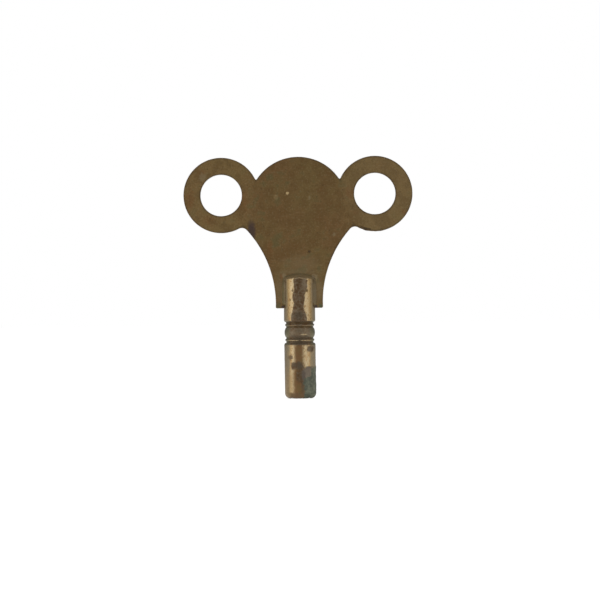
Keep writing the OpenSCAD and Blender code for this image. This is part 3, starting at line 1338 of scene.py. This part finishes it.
    def build(self, material: bpy.types.Material) -> bpy.types.Object:
        """Makes the turning, with the dents, pits and crust that its outside has.

        Args:
            material: the turning's finish.

        Returns:
            The piece.
        """
        skin = Skin()
        self.add_socket(skin)
        self.add_turning(skin)
        self.add_slot(skin)
        vertices, triangles = skin.weld()
        marks = self.marks(vertices)
        r = np.hypot(vertices[:, 0], vertices[:, 1])
        outside = ramp(r, self.groove_r - 0.25, self.groove_r - 0.05)
        lift = self.dint * rough_noise(vertices, 2.4, 11)
        lift += self.drag * rough_noise(vertices * [1, 1, 0.7], 0.7, 13)
        lift -= self.pit_depth * covered(self.pits, vertices, 0.3) + self.tarnish_depth * marks["tarnish"]
        grown = marks["crust"] * ramp(vertices[:, 2], 0, self.mouth_edge_r)
        lift += grown * (self.crust_lift + self.crust_lump * rough_noise(vertices, 0.8, 17))
        vertices[:, :2] *= 1 + (outside * lift / np.clip(r, 1, None))[:, None]
        return make_piece("barrel_turning", vertices, triangles, marks, material, self.crease)

    def marks(self, points: np.ndarray) -> dict[str, np.ndarray]:
        """Works out where the barrel is filmed, tarnished, crusted or pitted.

        Hands have rubbed two bands bright along each face, so tarnish stays down the middle, in the collar,
        in the socket and in scattered patches. The dark middles of both sleeves are also a painted reflection
        of the dark side in front, the greyer sides are partly a painted reflection of the dim room, and the
        crown above its edge line has a dull dark olive coat. Bare lines along the crown's edge and the rings'
        lower edges are painted highlights, and the bead's lower middle has painted shade.

        Args:
            points: places in mm, n by 3.

        Returns:
            The marks that the finish reads.
        """
        x, y, z = points.T
        r = np.hypot(x, y)
        behind = points * [-1, -1, 1]
        upper = z > self.bead_z
        wander = rough_noise(points, 1.6, 29)
        drawn = rough_noise(points * [1, 1, 0.4], 0.45, 53)
        grain = rough_noise(points, 0.4, 71)
        limb = np.abs(x) + 0.15 * wander
        # The collar and its bead, the tarnish reaching onto the sleeves' rounded ends, as painted shade where
        # the upper sleeve's end faces down. Bare brass along the rings' lower edges, strongest left and right
        # of the middle, is a painted highlight line. The grooves are darker, more so above the bead, and the
        # bead's lower middle has painted shade.
        collar = ramp(z, self.lower_len - 0.6, self.lower_len - 0.4)
        collar = collar * ramp(z, self.upper_z + 0.4, self.upper_z + 0.2)
        bead = ramp(np.abs(z - self.bead_z), self.bead_half + 0.1, self.bead_half - 0.2)
        under = self.bead_z + np.where(upper, 1, -1) * self.thin_offset - z
        ring_highlight = ramp(under, 0, 0.06) * ramp(under, self.thin_half + 0.04, self.thin_half - 0.04)
        ring_highlight = collar * ring_highlight * ramp(np.abs(x) + 0.3 * wander, -0.5, 1.1) * np.where(upper, 0.5, 1)
        groove = collar * ramp(r, self.groove_r + 0.13, self.groove_r + 0.03) * np.where(upper, 1, 0.2)
        shaded = ramp(self.bead_z - z + 0.15 * wander, 0.2, 0.9) * ramp(limb, 2.4, 1.2)
        # Brown tarnish down the middle of both faces, there partly a painted reflection of the dark side in
        # front, in the socket, in patches behind and in the dark spots
        inside = ramp(r, self.groove_r - 0.05, self.groove_r - 0.2)
        inside = inside * ramp(z, self.floor_z, self.floor_z - 0.5)
        blots = rough_noise(points @ SLANT, 1.4, 61) + 0.5 * lattice_noise(points @ SLANT, 5, 31)
        patches = ramp(blots, 0.45, 0.75) * ramp(y, 0, 1)
        middle = np.maximum(self.dark_middle.cover(points), self.dark_middle.cover(behind))
        tarnish = np.max([middle, collar, inside, patches, covered(self.darks, points, 0.5)], axis=0)
        # The crown's edge: bare brass along its line as a painted highlight, and a dull dark olive coat above
        # it
        above = z - np.interp(x, *np.array(self.crown_edge).T)
        edge_highlight = ramp(np.abs(above + 0.04 * wander), 0.2, 0.06)
        bared = (1 - 0.6 * edge_highlight) * (1 - 0.95 * ring_highlight) * (1 - self.scratch.cover(points))
        # Thin coppery tarnish down the lower sleeve's middle, partly a painted reflection of the dark side in
        # front; a darker brown round the lower end; and the left side darkened
        sleeve = ramp(z, self.upper_z + 1, self.upper_z)
        copper = np.maximum(self.copper_middle.cover(points), self.copper_middle.cover(behind))
        copper = copper * ramp(z, self.lower_len, self.lower_len - 0.2)
        foot = ramp(z + (0.15 + 0.3 * (y > 0)) * wander, 1.6, 1.1) * (r > self.square_corner_r)
        foot = foot * (1 - 0.5 * ramp(x, -1.8, -2.8))
        dimmed = 0.25 * sleeve * (1 - collar) * ramp(x, -2.1, -2.7)
        # Greyer sides, wider on the lower sleeve: partly a grey coating, partly a painted reflection of the
        # dim room at the grazing sides
        film_and_reflection = (0.55 + 0.35 * ramp(z, 4, 7)) * sleeve * ramp(limb, 2.05, 2.6)
        film_and_reflection = film_and_reflection + 0.75 * (1 - sleeve) * ramp(limb, 2.4, 3.1)
        film_and_reflection = np.maximum(film_and_reflection, 0.2 * ramp(z, 7.5, 6) * ramp(x, -1, -1.6))
        # Green crust over the lower right, and what else lies on top
        crust = self.crust_patch.cover(points)
        warm = 0.15 + 0.75 * ramp(np.abs(x) + 0.2 * wander, 1.6, 2.4) + 0.25 * drawn
        blush = np.maximum(covered(self.blushes, points, 0.5), 0.3 * ramp(y, -1, 1))
        # Soot in the listed spots and round the lower end, with painted shade on the bead's lower middle,
        # which also keeps the bead's grey ash to its upper half
        soot_and_shade = np.max([covered(self.soots, points, 0.5), 0.7 * collar * shaded, 0.4 * foot], axis=0)
        ashen = collar * bead * (0.5 + 0.4 * wander) * (1 - shaded)
        paler = 0.45 * middle * ramp(grain, -0.2, -0.6)
        darker = 0.5 * middle * ramp(grain, 0.2, 0.6)
        return {
            "warm": np.clip(warm, 0, 1),
            "blush": blush * ramp(drawn, -0.1, 0.5),
            "film_and_reflection": np.clip(film_and_reflection * (0.9 + 0.5 * drawn), 0, 1),
            "copper": np.max([copper, 0.9 * foot, dimmed], axis=0),
            "tarnish": tarnish * bared,
            "soot_and_shade": soot_and_shade * (1 - 0.9 * ring_highlight),
            "ash": np.max([covered(self.ashes, points, 0.6), ashen, paler], axis=0),
            # Grey-green sides of the collar: partly a greenish coating, partly a painted reflection of the
            # dim room
            "lichen_and_reflection": 0.8 * collar * ramp(limb, 2.0, 2.9),
            "grime": ramp(above, 0.1, 0.3),
            "mauve": 0.85 * self.mauve_patch.cover(points) * (1 - crust),
            "flake": 0.5 + 0.4 * rough_noise(points @ SLANT, 0.9, 59),
            "crust": crust,
            "pit": np.max([covered(self.pits, points, 0.3), 0.55 * groove, darker], axis=0),
        }


@dataclass(frozen=True)
class SolderSeam:
    """The solder round one cheek: a hollow fillet up one side, over the crown and down the other."""

    side: Side
    barrel: Barrel
    face_y: float
    side_leg: float = 0.5
    side_rise: float = 0.85
    crown_leg: float = 0.3
    crown_rise: float = 0.4
    hug: float = 0.45
    sunk: float = 0.05
    foot_gap: float = 0.4
    overlap: float = 0.02
    toe: float = 0.2
    tuck: float = 0.1
    lump: float = 0.2
    run_out: float = 0.035
    crease: float = 50.0
    side_steps: int = 80
    rim_steps: int = 14
    crown_steps: int = 90
    section_steps: int = 10
    pales: tuple[Spot, ...] = (
        Spot(3.4, 27.75, 0.5, 0.4, 1.0, 0.5),
        Spot(-3.6, 27.7, 0.5, 0.4, 0.4, 0.6),
        # Painted light: a paler strip down the right side, where the lamp is weaker.
        Spot(3.7, 24.2, 0.7, 3.4, 0.3, 0.4),
    )

    def path(self) -> tuple[np.ndarray, np.ndarray, np.ndarray]:
        """The line where the cheek meets the wing's face.

        Returns:
            The places and the directions away from the cheek, each n by 2 in X and Z, and how far each
            place is from the sides towards the crown, 0 to 1.
        """
        barrel = self.barrel
        side_x = math.sqrt(barrel.radius ** 2 - self.face_y ** 2)
        crown_r = math.sqrt(barrel.crown_r ** 2 - self.face_y ** 2)
        corner_x = side_x - barrel.rim_r
        corner_z = barrel.crown_z + math.sqrt((crown_r - barrel.rim_r) ** 2 - corner_x ** 2)
        lean = math.atan2(corner_z - barrel.crown_z, corner_x)
        turn = np.linspace(0, lean, self.rim_steps)
        over = np.linspace(lean, math.pi - lean, self.crown_steps)[1:-1]
        up = np.linspace(barrel.floor_z + self.foot_gap, corner_z, self.side_steps)[:-1]
        right = np.stack([np.full(len(up), side_x), up], axis=1)
        bend = [corner_x, corner_z] + barrel.rim_r * rays(turn)
        top = [0, barrel.crown_z] + crown_r * rays(over)
        half = np.concatenate([right, bend])
        half_out = np.concatenate([np.tile([1.0, 0.0], (len(up), 1)), rays(turn)])
        flip = np.array([-1, 1])
        places = np.concatenate([half, top, half[::-1] * flip])
        outs = np.concatenate([half_out, rays(over), half_out[::-1] * flip])
        return places, outs, ramp(places[:, 1], corner_z - 1.2, corner_z + 0.2)

    def add_layer(self, skin: Skin) -> None:
        """Adds the layer that ran in between wing and cheek: its section carried across the slot.

        The section is a thin upright strip, with a toe that fills the hollow under the wing's rounded edge,
        and it is drawn to a point at both ends.

        Args:
            skin: the seam's skin.
        """
        barrel = self.barrel
        near, far = self.face_y - self.overlap, barrel.slot_half + self.overlap
        toe_y, toe_z = self.face_y - self.toe, barrel.floor_z + self.toe
        floor_z, rim_z = barrel.floor_z, barrel.rim_z
        y = np.array([toe_y, far, far, near, near, toe_y, toe_y])
        z = np.array([floor_z, floor_z, rim_z, rim_z, toe_z, toe_z, floor_z])
        middle_y, middle_z = (near + far) / 2, floor_z + self.toe / 2
        half = math.sqrt(barrel.radius ** 2 - far ** 2) - self.sunk
        x = half * np.array([-1, -1, 1, 1])[:, None]
        spread = np.array([0, 1, 1, 0])[:, None]
        y = middle_y + spread * (y - middle_y)
        skin.add(x, self.side.value * y, middle_z + spread * (z - middle_z))

    def build(self, material: bpy.types.Material) -> bpy.types.Object:
        """Makes the seam: a hollow section carried along the path, lumpy, and run out at both ends.

        The section's face is a curve from the wing to the cheek that is drawn in towards the corner between
        them; the rest of it is sunk in the brass. It is fuller at the sides than over the crown.

        Args:
            material: the solder's finish.

        Returns:
            The piece.
        """
        places, outs, crown = self.path()
        leg, rise = (
            (side + (top - side) * crown)[:, None]
            for side, top in ((self.side_leg, self.crown_leg), (self.side_rise, self.crown_rise))
        )
        round_r = self.barrel.radius + (self.barrel.crown_r - self.barrel.radius) * crown[:, None]
        back = np.sqrt(round_r ** 2 - self.face_y ** 2) - np.sqrt(round_r ** 2 - (self.face_y + rise) ** 2)
        face = np.full(len(places), self.side.value * self.face_y)
        solid = np.stack([places[:, 0], face, places[:, 1]], axis=1)
        run = np.linspace(0, 1, len(places))
        ends = np.sqrt(ramp(run, 0, self.run_out) * ramp(run, 1, 1 - self.run_out))
        size = (ends * (1 + self.lump * rough_noise(solid, 1.3, 37)))[:, None]
        share = np.linspace(0, 1, self.section_steps + 1)
        low, mid, high = (1 - share) ** 2, 2 * share * (1 - share), share ** 2
        lean = -(back + self.sunk)
        away = low * leg + mid * self.hug * (leg + lean) + high * lean
        up = low * -self.sunk + mid * self.hug * rise + high * rise
        behind = np.full_like(lean, -2 * self.tuck)
        below = np.full_like(rise, -2 * self.sunk)
        away = size * np.concatenate([away, lean - self.tuck, behind, leg, away[:, :1]], axis=1)
        up = size * np.concatenate([up, rise, below, below, up[:, :1]], axis=1)
        skin = Skin()
        skin.add(
            places[:, :1] + away * outs[:, :1],
            self.side.value * (self.face_y + up),
            places[:, 1:] + away * outs[:, 1:],
        )
        self.add_layer(skin)
        vertices, triangles = skin.weld()
        height = vertices[:, 2] + 0.1 * rough_noise(vertices, 0.7, 47)
        low_z = places[:, 1].min()
        rim = np.abs(vertices[:, 1]) - self.face_y
        marks = {
            "burnt": ramp(height, low_z + 0.5, low_z + 0.15),
            "pale": np.maximum(covered(self.pales, vertices, 0.4), 0.5 * ramp(rim, 0.4, 0.8)),
        }
        name = f"{self.side.name.lower()}_solder_fillet"
        return make_piece(name, vertices, triangles, marks, material, self.crease)


@dataclass(frozen=True)
class Panel:
    """A soft panel in the wall, by the angles in degrees at which it starts, fills, fades and ends."""

    start: float
    full: float
    fade: float
    end: float
    level: float

    def share(self, off: np.ndarray) -> np.ndarray:
        """How much of the wall's light at each angle from the camera's side is the panel's."""
        return ramp(off, self.start, self.full) * ramp(off, self.end, self.fade)


@dataclass(frozen=True)
class Studio:
    """A pale floor under a white sky, and a grey wall round the key with soft panels and dark cards in it."""

    reach: float = 1.0
    aim_x: float = 0.148
    aim_z: float = 22.338
    lens: float = 264.12
    clip_end: float = 20.0
    roll: float = -0.75
    floor_half: float = 3.0
    wall_r: float = 0.16
    wall_height: float = 0.15
    wall_steps: int = 180
    white: str = "#FFFFFF"
    floor: str = "#F2F2F2"
    front_level: float = 0.6
    card: Panel = Panel(110, 135, 158, 168, 0.4)
    left: Panel = Panel(27, 50, 60, 106, 1.52)
    right: Panel = Panel(22, 40, 58, 98, 1.2)
    sky_level: float = 0.5
    floor_glow: float = 0.6
    lamp_azimuth: float = 57.0
    lamp_away: float = 0.55
    lamp_height: float = 0.25
    lamp_size: tuple[float, float] = (0.3, 0.5)
    left_lamp: float = 1.6
    right_lamp: float = 1.4

    def camera(self) -> None:
        """Puts the camera at the photograph's angle: level, square to the wing, and rolled a little."""
        data = bpy.data.cameras.new("camera")
        data.lens = self.lens
        data.clip_end = self.clip_end
        camera = put("camera", data)
        upright = Matrix.Rotation(math.pi / 2, 4, "X") @ Matrix.Rotation(math.radians(self.roll), 4, "Z")
        camera.matrix_world = Matrix.Translation((self.aim_x * MM, -self.reach, self.aim_z * MM)) @ upright
        bpy.context.scene.camera = camera

    def seen_white(self, tree: bpy.types.NodeTree) -> bpy.types.NodeSocket:
        """Works out which rays should find white: those from the camera, from metal and through glass.

        Args:
            tree: the node tree of the world or the floor.

        Returns:
            A socket that is 1 for those rays and 0 for the others.
        """
        kinds = add_node(tree, "ShaderNodeLightPath").outputs
        seen = kinds["Is Camera Ray"]
        for kind in ("Is Glossy Ray", "Is Transmission Ray"):
            either = add_node(tree, "ShaderNodeMath", {0: seen, 1: kinds[kind]}, operation="MAXIMUM")
            seen = either.outputs["Value"]
        return seen

    def sky(self) -> None:
        """A white world: full white to the eye and to metal, dimmer as a light."""
        world = bpy.data.worlds.new("white_sky")
        tree = fresh_tree(world)
        levels = {"Value": self.seen_white(tree), "To Min": self.sky_level, "To Max": 1.0}
        level = add_node(tree, "ShaderNodeMapRange", levels).outputs["Result"]
        glow = add_node(tree, "ShaderNodeBackground", {"Color": linear(self.white), "Strength": level})
        add_node(tree, "ShaderNodeOutputWorld", {"Surface": glow.outputs["Background"]})
        bpy.context.scene.world = world

    def ground(self) -> None:
        """A pale floor under the key: it glows nearly white to the eye and still takes the shadow."""
        paint = bpy.data.materials.new("pale_floor")
        tree = fresh_tree(paint)
        part = {0: self.seen_white(tree), 1: self.floor_glow}
        level = add_node(tree, "ShaderNodeMath", part, operation="MULTIPLY").outputs["Value"]
        matt = add_node(tree, "ShaderNodeBsdfDiffuse", {"Color": linear(self.floor)})
        glow = add_node(tree, "ShaderNodeEmission", {"Color": linear(self.white), "Strength": level})
        both = add_node(tree, "ShaderNodeAddShader", {0: matt.outputs["BSDF"], 1: glow.outputs["Emission"]})
        add_node(tree, "ShaderNodeOutputMaterial", {"Surface": both.outputs["Shader"]})
        mesh = bpy.data.meshes.new("floor")
        half = self.floor_half
        corners = [(-half, -half, 0), (half, -half, 0), (half, half, 0), (-half, half, 0)]
        mesh.from_pydata(corners, [], [(0, 1, 2, 3)])
        mesh.materials.append(paint)
        put("floor", mesh)

    def wall_level(self, azimuth: np.ndarray) -> np.ndarray:
        """How bright the wall is: grey, with a panel at each side and a dark card further round.

        Args:
            azimuth: degrees from the camera's side towards +X, from -180 to 180.

        Returns:
            The level at each angle, where 1 is white.
        """
        off = np.abs(azimuth)
        grey = self.front_level + (self.card.level - self.front_level) * self.card.share(off)
        lit = np.where(azimuth < 0, self.left.share(off), self.right.share(off))
        peak = np.where(azimuth < 0, self.left.level, self.right.level)
        return grey + (peak - grey) * lit

    def walls(self) -> None:
        """The wall: an upright tube that only metal sees, with its level written at each place."""
        paint = bpy.data.materials.new("soft_wall")
        tree = fresh_tree(paint)
        level = add_node(tree, "ShaderNodeAttribute", attribute_name="level").outputs["Fac"]
        glow = add_node(tree, "ShaderNodeEmission", {"Color": linear(self.white), "Strength": level})
        add_node(tree, "ShaderNodeOutputMaterial", {"Surface": glow.outputs["Emission"]})
        count = self.wall_steps
        azimuth = np.linspace(-180, 180, count + 1)
        turn = np.radians(azimuth)
        ring = self.wall_r * np.stack([np.sin(turn), -np.cos(turn), 0 * turn], axis=1)
        places = np.concatenate([ring, ring + [0, 0, self.wall_height]])
        near = np.arange(count)
        faces = np.stack([near, near + 1, near + count + 2, near + count + 1], axis=1)
        mesh = bpy.data.meshes.new("walls")
        mesh.from_pydata(places.tolist(), [], faces.tolist())
        values = np.tile(self.wall_level(azimuth), 2).astype(np.float32)
        mesh.attributes.new("level", "FLOAT", "POINT").data.foreach_set("value", values)
        mesh.materials.append(paint)
        walls = put("walls", mesh)
        walls.visible_camera = False
        walls.visible_diffuse = False
        walls.visible_shadow = False

    def softbox(self, name: str, azimuth: float, level: float) -> None:
        """Adds a soft lamp that faces the key and lights what isn't metal, which sees the wall instead.

        Args:
            name: the lamp's name.
            azimuth: degrees from the camera's side towards +X.
            level: how bright its face is, where 1 is white.
        """
        data = bpy.data.lights.new(name, "AREA")
        data.shape = "RECTANGLE"
        data.size, data.size_y = self.lamp_size
        data.energy = level * math.pi * data.size * data.size_y
        lamp = put(name, data)
        turn = math.radians(azimuth)
        x, y = self.lamp_away * math.sin(turn), -self.lamp_away * math.cos(turn)
        aim = Matrix.Rotation(turn, 4, "Z") @ Matrix.Rotation(math.pi / 2, 4, "X")
        lamp.matrix_world = Matrix.Translation((x, y, self.lamp_height)) @ aim
        lamp.visible_camera = False
        lamp.visible_glossy = False

    def build(self) -> None:
        """Sets up the camera, the floor, the walls and the light."""
        self.camera()
        self.sky()
        self.ground()
        self.walls()
        self.softbox("left_softbox", -self.lamp_azimuth, self.left_lamp)
        self.softbox("right_softbox", self.lamp_azimuth, self.right_lamp)
        bpy.context.scene.view_settings.view_transform = "Standard"


def main() -> None:
    """Builds the studio and the key's pieces, and notes the size of what was built."""
    logging.basicConfig(level=logging.INFO, format="%(name)s: %(message)s")
    Studio().build()
    wing = Wing.from_frame()
    barrel = Barrel.from_frame()
    place(wing.build(TarnishedSheetBrass().material()), "wing_plate")
    place(barrel.build(RubbedTurnedBrass().material()), "barrel")
    solder = OldSoftSolder().material()
    for side in Side:
        seam = SolderSeam(side, barrel, wing.thickness / 2)
        place(seam.build(solder), f"{side.name.lower()}_solder_seam")


if __name__ == "__main__":
    main()
